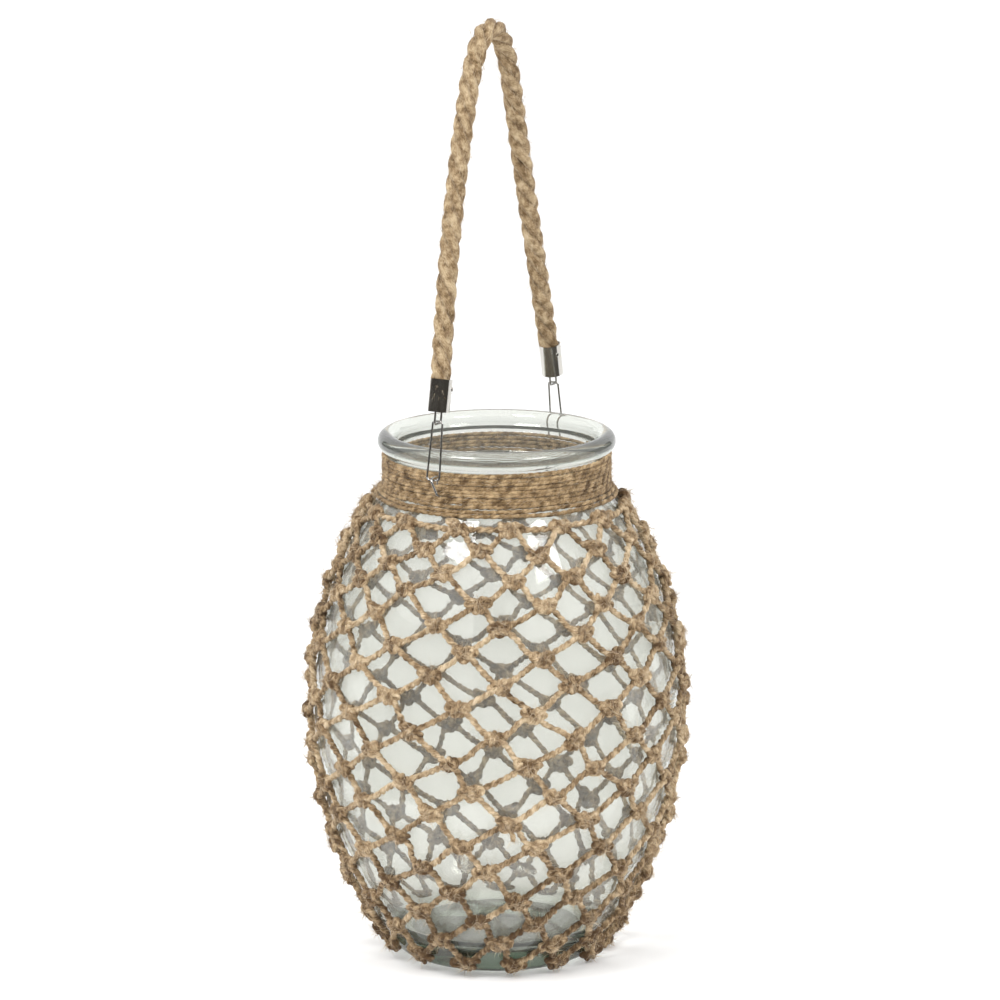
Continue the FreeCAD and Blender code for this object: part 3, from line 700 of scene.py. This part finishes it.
def string_legs(store, fuzz, k, side):
    """The legs on one side, 0 or 1, of the knots of row k, down to the next row, with their fibres."""
    turn, z = row_knots(k)
    next_turn, next_z = row_knots(k + 1)
    below = (np.arange(MESHES) + side - (k + 1) % 2) % MESHES
    way = 2 * side - 1
    start = turn + way * np.degrees(LEG_ASIDE / glass_radius(z))
    end = turn + ((next_turn[below] - turn + 180) % 360 - 180)
    end = end - way * np.degrees(LEG_ASIDE / glass_radius(next_z[below]))
    s = np.linspace(0, 1, LEG_POINTS)[None, :]
    sag = np.sin(np.pi * s)
    bend = 0.45 * rng.standard_normal((MESHES, 1))
    a = start[:, None] * (1 - s) + end[:, None] * s + bend * 0.8 * np.sin(2 * np.pi * s)
    h = (z[:, None] - LEG_DROP) * (1 - s) + (next_z[below][:, None] + LEG_DROP) * s
    h = h - (0.3 + 0.5 * rng.random((MESHES, 1))) * sag
    path, normal = skin(a, h, 2.0 + 1.2 * (1 - sag) ** 2)
    # the legs of the lowest rows get painted shade: their tone is lowered near the table
    tone = 0.5 - low_row_painted_shade(k) + 0.11 * rng.standard_normal(MESHES)
    swell = (1.0 + 0.38 * (1 - sag) ** 3) * plump(k)
    radius = 1.04 * swell * uneven(MESHES, LEG_POINTS, 0.14)
    twist(store, path, normal, 2, 0.58, radius, 7.0, 8, tone)
    count = MESHES * LEG_HAIRS
    pick = rng.integers(1, LEG_POINTS - 1, count)
    who = rng.integers(0, MESHES, count)
    out = unit(normal[who, pick] + 0.7 * rng.standard_normal((count, 3)))
    hairs(fuzz, path[who, pick] + out * 1.15, out, 3.2, 0.07, 0.6, tangents(path)[who, pick])


def net_row(fuzz, k):
    store = Bin()
    centre, out = tie_knots(store, k)
    if k < COURSES - 1:
        for side in (0, 1):
            string_legs(store, fuzz, k, side)
    count = MESHES * KNOT_HAIRS
    who = rng.integers(0, MESHES, count)
    way = unit(out[who] + 0.9 * rng.standard_normal((count, 3)))
    hairs(fuzz, centre[who] + way * 2.9, way, 4.0, 0.09, 0.5)
    return store.make("net_row_%02d" % (k + 1), net_mat)


def header_cord():
    """The cord that the top row is tied to."""
    store = Bin()
    turn = np.linspace(0, 360, 460)[None, :]
    wave = np.radians(turn)
    path, normal = skin(turn, NET_TOP + 0.25 * np.sin(wave * 9), 2.05 + 0.2 * np.sin(wave * 15))
    twist(store, path, normal, 2, 0.72, 1.0, 9.0, 8, np.array([0.45]))
    return store.make("net_header", net_mat)


def twine_ends(fuzz):
    """Short ends left standing at some knots, frayed at the tip."""
    store = Bin()
    s = np.linspace(0, 1, 12)
    for k, j in TAILS:
        curl = 1.5 * math.sin(3.0 * k + j)
        turn = knot_turn(k, j) + (0.5 + 2.2 * s + curl * s**2)
        path, normal = skin(turn, knot_height(k, j) - 1.0 - 5.5 * s, 5.2 + 1.9 * s**2)
        twist(store, path[None], normal[None], 2, 0.55, 0.7, 6.0, 7, np.array([0.35]),
              taper=np.linspace(1, 1.25, 12))
        tip = path[-1] - path[-3]
        fray = 0.5 * np.linalg.norm(tip) * rng.standard_normal((TAIL_HAIRS, 3))
        way = unit(tip + fray)
        roots = np.tile(path[-1], (TAIL_HAIRS, 1)) - way
        hairs(fuzz[k // ROWS_PER_FUZZ], roots, way, 2.6, 0.09, 1.2, way)
    return store.make("twine_ends", net_mat)


net_fuzz = [Bin() for _ in range(COURSES // ROWS_PER_FUZZ)]
for k in range(COURSES):
    net = net_row(net_fuzz[k // ROWS_PER_FUZZ], k)
    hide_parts("net_course_%02d" % (k + 1))
    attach(net, "jar")

header = header_cord()
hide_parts("net_header_cord")
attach(header, "jar")

tails = twine_ends(net_fuzz)
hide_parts("net_tails")
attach(tails, "jar")

# ------------------------------------------------------------ neck wrap: one twine wound eleven times
WRAP_TURNS, WRAP_PITCH, WRAP_LOW, WRAP_START = 11, 2.2, 230.5, 330.0
WRAP_GAPS = ((188.0, 2.4, 5.0), (238.0, 0.9, 11.0), (160.0, 1.4, 5.0), (60.0, 5.5, 7.0))


def neck_twine(fuzz):
    """The wound twine; WRAP_GAPS gives the turn, the round and the width in degrees of places where
    two rounds part. fuzz gets the fibres."""
    s = np.linspace(0.0, WRAP_TURNS, WRAP_TURNS * 540)
    a = 360.0 * s + WRAP_START
    z = WRAP_LOW + WRAP_PITCH / 2 + WRAP_PITCH * (WRAP_TURNS - 1) * s / WRAP_TURNS
    z = z + 0.16 * np.sin(np.radians(a) * 1.37 + 1.0) + 0.10 * np.sin(np.radians(a) * 3.1)
    for at, level, width in WRAP_GAPS:
        aside = (a % 360.0) - at
        up = s - level - at / 360.0
        z = z + 0.5 * np.tanh(6 * up) * np.exp(-(aside / width) ** 2 - (up / 1.6) ** 2)
    path, normal = skin(a, z, 1.45 + 0.10 * np.sin(np.radians(a) * 2.3))
    store = Bin()
    twist(store, path[None], normal[None], 2, 0.32, 0.87, 8.0, 8, np.array([0.42]))
    pick = rng.integers(5, len(path) - 5, WRAP_HAIRS)
    way = unit(normal[pick] + 0.5 * rng.standard_normal((WRAP_HAIRS, 3)))
    hairs(fuzz, path[pick] + way * 0.95, way, 3.2, 0.06, 0.3, tangents(path[None])[0][pick])
    return store.make("neck_twine", wrap_mat)


wrap_fuzz = Bin()
wrap = neck_twine(wrap_fuzz)
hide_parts("neck_wrap")
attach(wrap, "jar")

for i, store in enumerate(net_fuzz):
    loose = store.make("fibres_%02d" % (i + 1), hair_mat)
    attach(loose, "jar")
neck_fibres = wrap_fuzz.make("fibres_neck", hair_mat)
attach(neck_fibres, "jar")

# ------------------------------------------------------------ metal pieces keep their CAD shape
EDGE_SOFTNESS = 0.18 * MM


def finish_metal(name, node):
    """Wire or nickel on a metal node, and softened edges on the rope's caps."""
    wire = name.startswith(("ferrule_eye", "link")) or name == "neck_wire"
    if not wire and not name.startswith("ferrule"):
        return
    node.data.materials.clear()
    node.data.materials.append(wire_mat if wire else nickel_mat)
    if not wire and not name.startswith("ferrule_tack"):
        soften = node.modifiers.new("edges", "BEVEL")
        soften.width = EDGE_SOFTNESS
        soften.segments = 3
        soften.limit_method = "ANGLE"
        soften.angle_limit = math.radians(40)


for name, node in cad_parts.items():
    finish_metal(name, node)

# ------------------------------------------------------------ stage and light
FLOOR_SIZE, FLOOR_DROP, SHADE_R = 60.0, 0.0002, 0.043
AIM = np.array([0.0, 0.0, 0.2])


def pale_floor():
    bpy.ops.mesh.primitive_plane_add(size=FLOOR_SIZE, location=(0, 0, -FLOOR_DROP))
    ob = bpy.context.object
    ob.name = "floor"
    ob.data.materials.append(floor_mat)
    return ob


def jar_shade():
    """The shaded patch of floor under the jar's foot, seen only through the glass."""
    bpy.ops.mesh.primitive_circle_add(vertices=64, radius=SHADE_R, fill_type="NGON",
                                      location=(0, 0, -FLOOR_DROP / 2))
    ob = bpy.context.object
    ob.name = "shade_under_jar"
    ob.data.materials.append(shade_mat)
    return ob


def card(name, azimuth, elevation, distance, width, height):
    """A dark card facing the jar, out of the picture; it gives the glass and metal their dark edges."""
    a, e = math.radians(azimuth), math.radians(elevation)
    bpy.ops.mesh.primitive_plane_add(size=1.0, location=AIM + distance * direction(a, e),
                                     rotation=(math.pi / 2 - e, 0.0, a))
    ob = bpy.context.object
    ob.name = name
    ob.scale = (width, height, 1.0)
    ob.data.materials.append(card_mat)
    ob.visible_camera = False
    return ob


def dark_band(name, half_angle, low, high, through=False):
    """A dark band round the camera's side of the room, between two rings (radius, height).

    It shows only in reflections, and through the glass where through is true.
    """
    n = 40
    turn = AZIMUTH + np.radians(np.linspace(-half_angle, half_angle, n))
    verts = [(r * math.sin(a), -r * math.cos(a), z) for r, z in (low, high) for a in turn]
    faces = [(i, i + 1, n + i + 1, n + i) for i in range(n - 1)]
    me = bpy.data.meshes.new(name)
    me.from_pydata(verts, [], faces)
    me.materials.append(card_mat)
    ob = bpy.data.objects.new(name, me)
    scene.collection.objects.link(ob)
    ob.visible_camera = False
    ob.visible_diffuse = False
    ob.visible_transmission = through
    ob.visible_shadow = False
    return ob


pale_floor()
jar_shade()
card("card_camera", -60, 16, 3.2, 1.7, 2.2)
card("card_ceiling", -60, 90, 1.9, 1.7, 1.7)
dark_band("dark_room", 145, (3.4, 0.0), (3.4, 1.25))
dark_band("table_edge", 85, (0.24, 0.0004), (3.4, 0.0004), through=True)


def white_room(strength):
    world = bpy.data.worlds.new("studio")
    scene.world = world
    world.use_nodes = True
    sky = world.node_tree.nodes["Background"]
    sky.inputs["Color"].default_value = (1.0, 1.0, 1.0, 1.0)
    sky.inputs["Strength"].default_value = strength


def lamp(name, azimuth, elevation, distance, size, power):
    """A soft rectangular lamp aimed at the jar."""
    a, e = math.radians(azimuth), math.radians(elevation)
    data = bpy.data.lights.new(name, "AREA")
    data.shape = "RECTANGLE"
    data.size, data.size_y = size
    data.energy = power
    ob = bpy.data.objects.new(name, data)
    ob.location = AIM + distance * direction(a, e)
    ob.rotation_euler = (math.pi / 2 - e, 0.0, a)
    scene.collection.objects.link(ob)


white_room(1.08)
lamp("key", -100, 50, 2.2, (0.8, 0.8), 24.0)
lamp("fill", -15, 42, 2.6, (0.8, 0.8), 18.0)
scene.view_settings.view_transform = "Standard"
